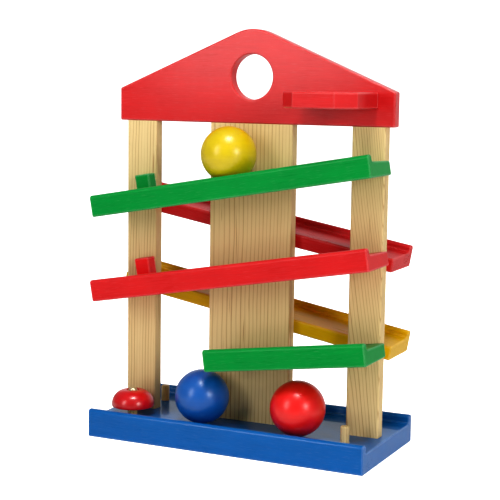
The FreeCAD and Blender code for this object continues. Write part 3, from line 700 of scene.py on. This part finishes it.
class MARBLERUN_OT_screws(bpy.types.Operator):
    """Makes the six screws under the tray, two for each post"""

    bl_idname = "marble_run.screws"
    bl_label = "Tray screws"

    def execute(self, context):
        shapes = context.scene.marble_run_shapes
        low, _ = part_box("tray_screws")
        spots = []
        for post, inset in (("left_post", shapes.outer_inset), ("middle_post", shapes.middle_inset),
                            ("right_post", shapes.outer_inset)):
            reach = size(post).x / 2 - inset
            spots += [Vector((middle(post).x + side * reach, 0.0, low.z)) for side in (-1, 1)]
        zinc = context.scene.marble_run_looks.zinc
        finish = metal("zinc_plate", zinc, roughness=0.38, reach=0.4 * MM)
        screws = grow("wood_screws", screw_tree(), spots, finish,
                      head=shapes.screw_head, shank=shapes.screw_shank, length=size("tray_screws").z,
                      recess=shapes.recess_width, depth=shapes.recess_depth)
        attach(screws, "frame")
        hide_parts("tray_screws")
        return {"FINISHED"}


class MARBLERUN_OT_stage(bpy.types.Operator):
    """Lays the floor and sets the light and the camera"""

    bl_idname = "marble_run.stage"
    bl_label = "Stage"

    def execute(self, context):
        settings = context.scene.marble_run_stage
        self.lay_floor(settings)
        self.light_room(context.scene, settings)
        target = (CAD_BOX[0] + CAD_BOX[1]) / 2
        for name, place, side, strength in (
                ("left_window", (-0.85, -1.85, 0.86), (0.55, 1.15), settings.left_light),
                ("right_window", (1.75, -1.05, 0.75), (0.55, 0.75), settings.right_light),
                ("top_window", (0.25, -0.55, 1.75), (0.45, 0.45), settings.top_light),
                ("back_wall", (-0.3, 2.4, 0.75), (4.0, 1.5), settings.back_light)):
            self.hang_light(name, Vector(place), target, side, strength)
        self.place_camera(context.scene, settings)
        return {"FINISHED"}

    @staticmethod
    def lay_floor(settings):
        """A plain disc. It glows ten times less for what it lights than for what the camera sees."""
        group, tree, (radius,) = shape_tree("Floor", "Radius")
        disc = tree.node("GeometryNodeMeshCircle", {"fill_type": "NGON"}, {
            "Vertices": 96, "Radius": radius})
        close_shape(tree, disc)
        material, tree = new_finish("pale_floor")
        seen = tree.node("ShaderNodeLightPath", output="Is Camera Ray")
        close_finish(tree, {
            "Base Color": (*settings.floor_tone, 1.0),
            "Roughness": 0.8,
            "Specular IOR Level": 0.1,
            "Emission Color": tree.mix(seen, (0.1, 0.1, 0.1), (1.0, 1.0, 1.0)),
            "Emission Strength": settings.floor_glow})
        spots = [(0, 0, -settings.floor_gap)]
        grow("floor", group, spots, material, radius=settings.floor_radius)

    @staticmethod
    def light_room(scene, settings):
        """A white room, dimmer for what it lights than for what the camera sees."""
        scene.world = bpy.data.worlds.new("pale_room")
        scene.world.use_nodes = True
        tree = Tree(scene.world.node_tree)
        seen = tree.node("ShaderNodeLightPath", output="Is Camera Ray")
        brightness = seen * (1.0 - settings.room_light) + settings.room_light
        glow = tree.node("ShaderNodeBackground", {}, {"Color": (1.0, 1.0, 1.0, 1.0), "Strength": brightness})
        tree.node("ShaderNodeOutputWorld", {}, {"Surface": glow})
        scene.view_settings.view_transform = "Standard"
        scene.view_settings.look = "High Contrast"

    @staticmethod
    def hang_light(name, place, target, side, strength):
        lamp = bpy.data.lights.new(name, "AREA")
        lamp.shape = "RECTANGLE"
        lamp.size, lamp.size_y = side
        lamp.energy = strength
        holder = bpy.data.objects.new(name, lamp)
        holder.visible_camera = False
        aim = (target - place).to_track_quat("-Z", "Y")
        holder.matrix_world = Matrix.Translation(place) @ aim.to_matrix().to_4x4()
        bpy.context.scene.collection.objects.link(holder)

    @staticmethod
    def place_camera(scene, settings):
        lens = bpy.data.cameras.new("camera")
        lens.lens = settings.lens
        lens.sensor_width = 36.0
        camera = bpy.data.objects.new("camera", lens)
        camera.matrix_world = (
            Matrix.Translation(settings.camera_place)
            @ Matrix.Rotation(settings.camera_turn, 4, "Z")
            @ Matrix.Rotation(math.pi / 2 - settings.camera_dip, 4, "X")
            @ Matrix.Rotation(settings.camera_roll, 4, "Z"))
        scene.collection.objects.link(camera)
        scene.camera = camera


class MARBLERUN_PT_panel(bpy.types.Panel):
    """Lists the pieces in the order they are made"""

    bl_idname = "MARBLERUN_PT_panel"
    bl_label = "Marble run"
    bl_space_type = "VIEW_3D"
    bl_region_type = "UI"
    bl_category = "Marble run"

    def draw(self, context):
        for maker in MAKERS:
            self.layout.operator(maker.bl_idname)
        scene = context.scene
        for settings in (scene.marble_run_looks, scene.marble_run_shapes, scene.marble_run_stage):
            box = self.layout.box()
            for name in settings.__annotations__:
                box.prop(settings, name)


MAKERS = (
    MARBLERUN_OT_boards,
    MARBLERUN_OT_posts,
    MARBLERUN_OT_balls,
    MARBLERUN_OT_bell,
    MARBLERUN_OT_screws,
    MARBLERUN_OT_stage,
)
CLASSES = (MarbleRunLooks, MarbleRunShapes, MarbleRunStage, *MAKERS, MARBLERUN_PT_panel)


def register():
    for kind in CLASSES:
        bpy.utils.register_class(kind)
    bpy.types.Scene.marble_run_looks = PointerProperty(type=MarbleRunLooks)
    bpy.types.Scene.marble_run_shapes = PointerProperty(type=MarbleRunShapes)
    bpy.types.Scene.marble_run_stage = PointerProperty(type=MarbleRunStage)


def unregister():
    del bpy.types.Scene.marble_run_stage
    del bpy.types.Scene.marble_run_shapes
    del bpy.types.Scene.marble_run_looks
    for kind in reversed(CLASSES):
        bpy.utils.unregister_class(kind)


def main():
    register()
    bpy.ops.marble_run.boards()
    bpy.ops.marble_run.posts()
    bpy.ops.marble_run.balls()
    bpy.ops.marble_run.bell()
    bpy.ops.marble_run.screws()
    bpy.ops.marble_run.stage()


if __name__ == "__main__":
    main()
